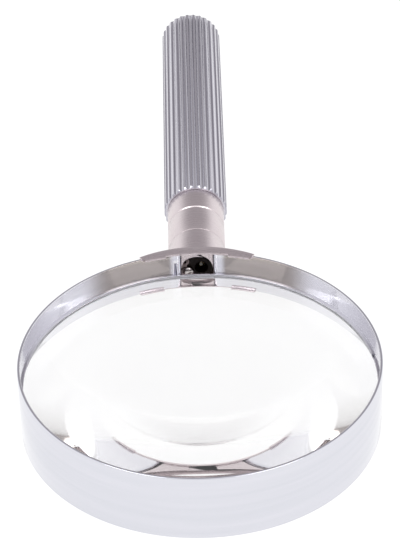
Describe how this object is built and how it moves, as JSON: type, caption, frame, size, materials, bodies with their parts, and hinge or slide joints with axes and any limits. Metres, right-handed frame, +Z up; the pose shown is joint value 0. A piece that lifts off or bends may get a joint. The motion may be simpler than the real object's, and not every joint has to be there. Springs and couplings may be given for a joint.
{
  "type": "illuminated hand magnifier",
  "caption": "Hand magnifier: thick round glass lens in a chrome ring, lamp behind a slot in the ring's back, satin neck with a turning switch ring and a fluted battery handle that unscrews.",
  "frame": {"origin": "middle of the footprint on the surface the ring stands on: x = 0 is the plane of symmetry through lens and handle, z = 0 is the ring's lower rim", "axes": "+Y along the handle away from the lens, +Z up along the lens's optical axis, +X to the right seen from the lens end"},
  "size_m": [0.1, 0.2334, 0.0205],
  "materials": {
    "chrome_band": "polished chrome plate on brass",
    "lens_glass": "polished optical crown glass",
    "spring_steel": "drawn spring wire",
    "satin_nickel": "satin nickel on turned brass",
    "fluted_aluminium": "anodised drawn aluminium",
    "phenolic": "dark moulded phenolic",
    "lamp_glass": "blown clear glass",
    "contact_brass": "stamped brass",
    "screw_steel": "nickel-plated steel",
    "liner_card": "wound fibre tube",
    "cell_jacket": "printed steel jacket"
  },
  "bodies": {
    "head": {"lens_ring": "chrome_band", "lens": "lens_glass", "upper_snap_ring": "spring_steel", "lower_snap_ring": "spring_steel", "saddle": "satin_nickel", "neck_socket": "satin_nickel", "rear_collar": "satin_nickel", "lamp_insert": "phenolic", "lamp_bulb": "lamp_glass", "lamp_base": "contact_brass", "contact_screw": "screw_steel", "earth_tag": "screw_steel", "earth_eyelet": "screw_steel", "lamp_contact": "contact_brass", "contact_carrier": "phenolic", "battery_contact": "contact_brass"},
    "switch": {"switch_ring": "satin_nickel", "switch_pin": "screw_steel", "switch_rotor": "phenolic", "rotor_contact": "contact_brass"},
    "liner": {"liner_tube": "liner_card"},
    "spring": {"tail_spring": "spring_steel"},
    "grip": {"grip_barrel": "fluted_aluminium", "end_plug": "fluted_aluminium"},
    "cells": {"front_cell": "cell_jacket", "front_cell_cap": "screw_steel", "rear_cell": "cell_jacket", "rear_cell_cap": "screw_steel"}
  },
  "joints": [
    {"name": "switch_turn", "type": "hinge", "parent": "head", "child": "switch", "pos_m": [0, 0, 0.01025], "axis": [0, 1, 0], "range_deg": [0, 60]},
    {"name": "grip_pull_off", "type": "slide", "parent": "head", "child": "liner", "axis": [0, 1, 0], "range_m": [0, 0.1]},
    {"name": "thread_advance", "type": "slide", "parent": "liner", "child": "spring", "axis": [0, 1, 0], "range_m": [0, 0.0075], "deforming": ["tail_spring"]},
    {"name": "grip_unscrew", "type": "hinge", "parent": "spring", "child": "grip", "pos_m": [0, 0, 0.01025], "axis": [0, 1, 0], "range_deg": [0, 2520]},
    {"name": "cells_out", "type": "slide", "parent": "liner", "child": "cells", "axis": [0, -1, 0], "range_m": [0, 0.06]}
  ],
  "couplings": [
    {"joint": "thread_advance", "follows": "grip_unscrew", "m_per_rad": 0.00015915},
    {"joint": "cells_out", "follows": "grip_pull_off", "ratio": 0.5}
  ]
}
